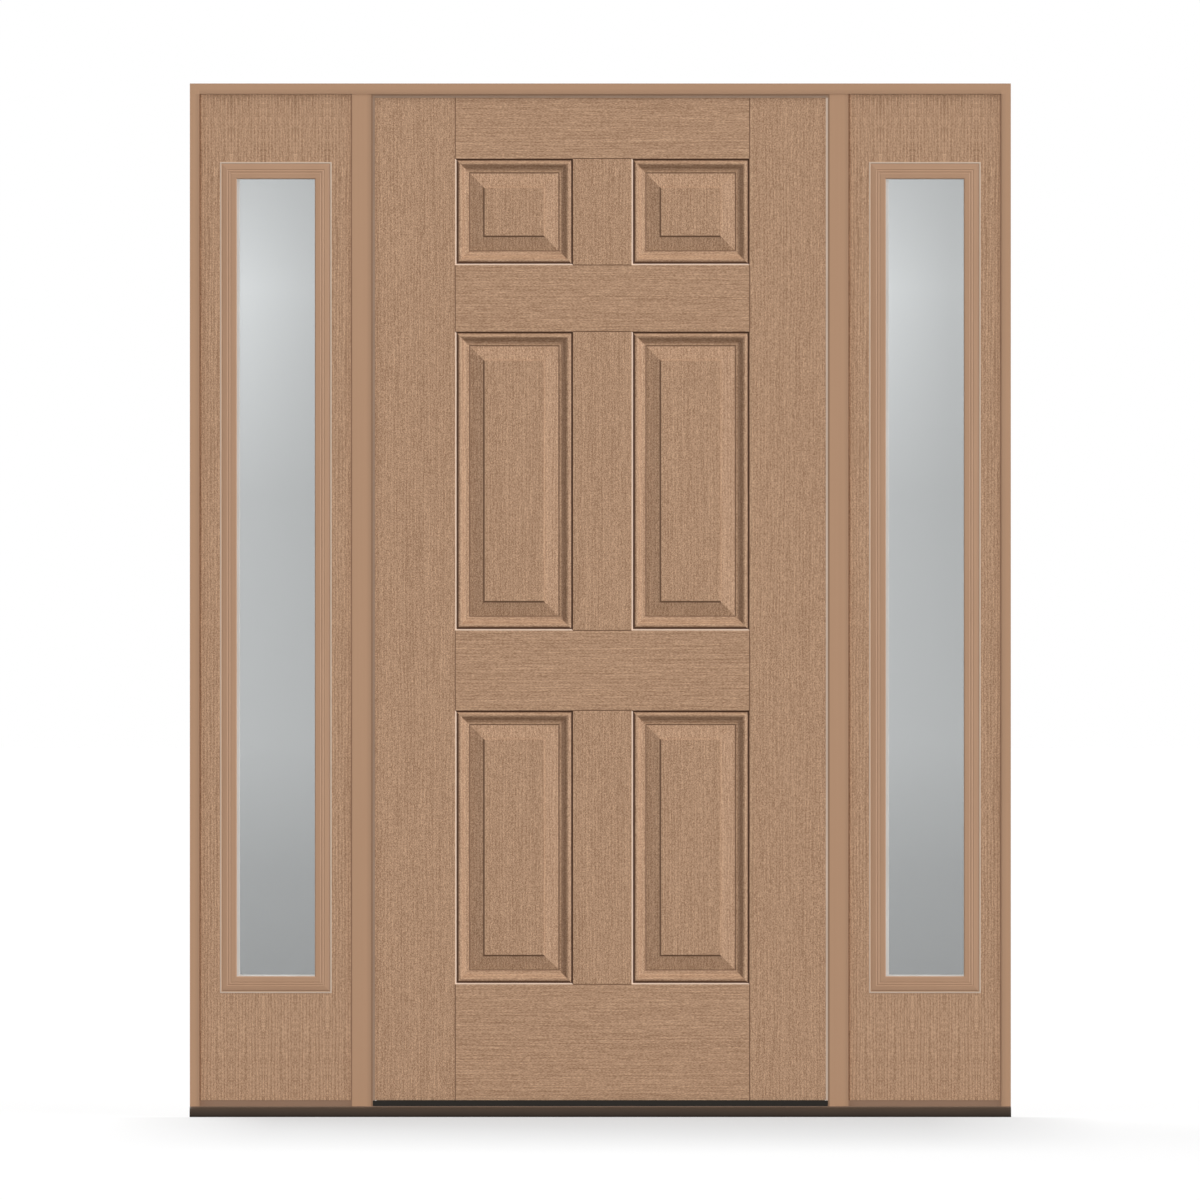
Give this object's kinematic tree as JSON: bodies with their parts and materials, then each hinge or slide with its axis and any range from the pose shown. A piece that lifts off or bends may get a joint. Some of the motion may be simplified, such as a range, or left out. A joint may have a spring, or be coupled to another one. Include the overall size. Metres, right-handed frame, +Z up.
{
  "type": "entry door with sidelights",
  "caption": "Hinged entry door leaf with raised panels between two fixed glazed sidelights, in one frame on a sloping sill, for a doorway in an outside wall.",
  "frame": {"origin": "middle of the sill's underside, half-way through the frame's depth", "axes": "+Z up, +Y into the house, +X to the right of someone outside who faces the door"},
  "size_m": [1.642, 0.0989, 2.0665],
  "materials": {
    "grained_skin": "satin stained wood grain",
    "leaf_edge": "satin stained wood",
    "frame_paint": "smooth satin paint",
    "lite_frame": "smooth satin moulding",
    "base_brown": "satin paint",
    "sill_bronze": "bronze anodised",
    "threshold_black": "dark satin",
    "door_seal": "soft foam seal",
    "sweep_rubber": "matte",
    "glass": "clear",
    "spacer": "mill",
    "hinge_steel": "brushed",
    "core_foam": "foam"
  },
  "bodies": {
    "frame": {"left_jamb": "frame_paint", "right_jamb": "frame_paint", "head_jamb": "frame_paint", "left_mullion": "frame_paint", "right_mullion": "frame_paint", "sill": "sill_bronze", "threshold_cap": "threshold_black", "left_door_stop": "frame_paint", "left_door_seal": "door_seal", "right_door_stop": "frame_paint", "right_door_seal": "door_seal", "head_door_stop": "frame_paint", "head_door_seal": "door_seal", "left_sidelight_base": "base_brown", "left_sidelight_panel": "grained_skin", "left_lite_frame_outside": "lite_frame", "left_lite_frame_inside": "lite_frame", "left_glass_panes": "glass", "left_glass_spacer": "spacer", "right_sidelight_base": "base_brown", "right_sidelight_panel": "grained_skin", "right_lite_frame_outside": "lite_frame", "right_lite_frame_inside": "lite_frame", "right_glass_panes": "glass", "right_glass_spacer": "spacer", "hinge_top_frame_half": "hinge_steel", "hinge_middle_frame_half": "hinge_steel", "hinge_bottom_frame_half": "hinge_steel"},
    "door": {"door_outside_skin": "grained_skin", "door_inside_skin": "grained_skin", "door_latch_edge": "leaf_edge", "door_hinge_edge": "leaf_edge", "door_top_edge": "leaf_edge", "door_bottom_edge": "leaf_edge", "door_core": "core_foam", "door_sweep": "sweep_rubber", "hinge_top_door_half": "hinge_steel", "hinge_middle_door_half": "hinge_steel", "hinge_bottom_door_half": "hinge_steel"}
  },
  "joints": [
    {"name": "door_swing", "type": "hinge", "parent": "frame", "child": "door", "pos_m": [0.456, 0.03475, 1], "axis": [0, 0, -1], "range_deg": [0, 110]}
  ]
}
